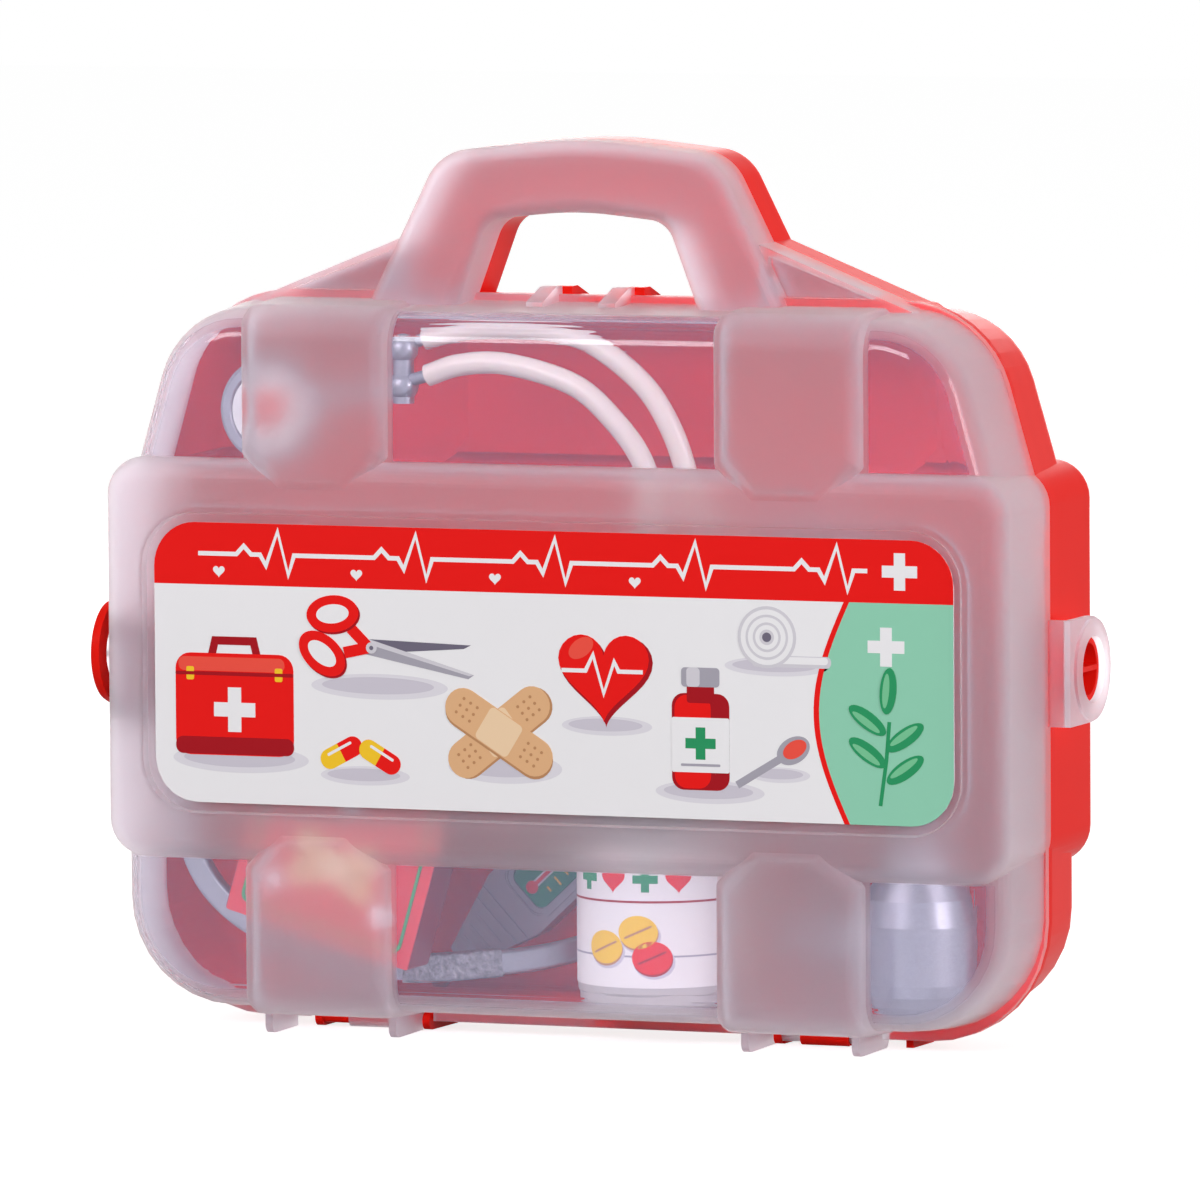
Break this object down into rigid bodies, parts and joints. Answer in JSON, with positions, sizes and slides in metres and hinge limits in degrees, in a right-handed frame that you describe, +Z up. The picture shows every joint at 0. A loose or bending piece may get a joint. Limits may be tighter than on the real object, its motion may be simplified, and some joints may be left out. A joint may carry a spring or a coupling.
{
  "type": "toy doctor case",
  "caption": "Hinged toy carrying case: two moulded half shells with a split handle, side ring latches and a printed front band, holding a toy doctor's set.",
  "frame": {"origin": "on the floor under the middle of the closed case", "axes": "+Z up, +X across the case to the right as seen from the front, +Y from the front half towards the rear half"},
  "size_m": [0.3166, 0.088, 0.2817],
  "materials": {
    "frosted_shell": "moulded",
    "red_shell": "moulded",
    "label": "moulded",
    "jar_white": "moulded",
    "jar_cap": "moulded",
    "jar_print": "moulded",
    "grey_metallic": "moulded",
    "pale_disc": "moulded",
    "red_trim": "moulded",
    "cream_tube": "moulded",
    "grey_frame": "moulded",
    "soft_tip": "moulded",
    "clear_barrel": "moulded",
    "piston_red": "moulded",
    "white_plastic": "moulded",
    "pale_clear": "moulded",
    "scope_cone": "moulded",
    "green_card": "moulded",
    "box_red": "moulded",
    "box_green": "moulded"
  },
  "bodies": {
    "rear": {"rear_shell": "red_shell", "jar_body": "jar_white", "jar_label": "jar_print", "chestpiece": "grey_metallic", "chestpiece_diaphragm": "pale_disc", "chestpiece_heart": "red_trim", "tube_left": "cream_tube", "tube_right": "cream_tube", "headset_frame": "grey_frame", "ear_tips": "soft_tip", "syringe_barrel": "clear_barrel", "hammer_handle": "grey_metallic", "hammer_head": "grey_metallic", "otoscope_handle": "grey_metallic", "otoscope_head": "grey_metallic", "otoscope_cone": "scope_cone", "thermometer_body": "pale_clear", "thermometer_card": "green_card", "thermometer_probe": "white_plastic", "plaster_box": "box_red", "plaster_box_print": "box_green"},
    "lid": {"front_shell": "frosted_shell", "front_label": "label"},
    "front_latch": {"front_latch": "frosted_shell"},
    "rear_latch": {"rear_latch": "red_shell"},
    "jar_lid": {"jar_lid": "jar_cap"},
    "plunger": {"syringe_plunger": "red_trim", "syringe_seal": "piston_red"}
  },
  "joints": [
    {"name": "lid_hinge", "type": "hinge", "parent": "rear", "child": "lid", "pos_m": [0, 0, 0.003], "axis": [1, 0, 0], "range_deg": [0, 180]},
    {"name": "front_latch_hinge", "type": "hinge", "parent": "lid", "child": "front_latch", "pos_m": [0.1563, -0.001, 0.1187], "axis": [0, 0, -1], "range_deg": [0, 110]},
    {"name": "rear_latch_hinge", "type": "hinge", "parent": "rear", "child": "rear_latch", "pos_m": [-0.1563, 0.001, 0.1187], "axis": [0, 0, -1], "range_deg": [0, 110]},
    {"name": "jar_lid_lift", "type": "slide", "parent": "rear", "child": "jar_lid", "axis": [0, 0, 1], "range_m": [0, 0.015]},
    {"name": "plunger_slide", "type": "slide", "parent": "rear", "child": "plunger", "axis": [0, 0, 1], "range_m": [-0.036, 0.026]}
  ]
}
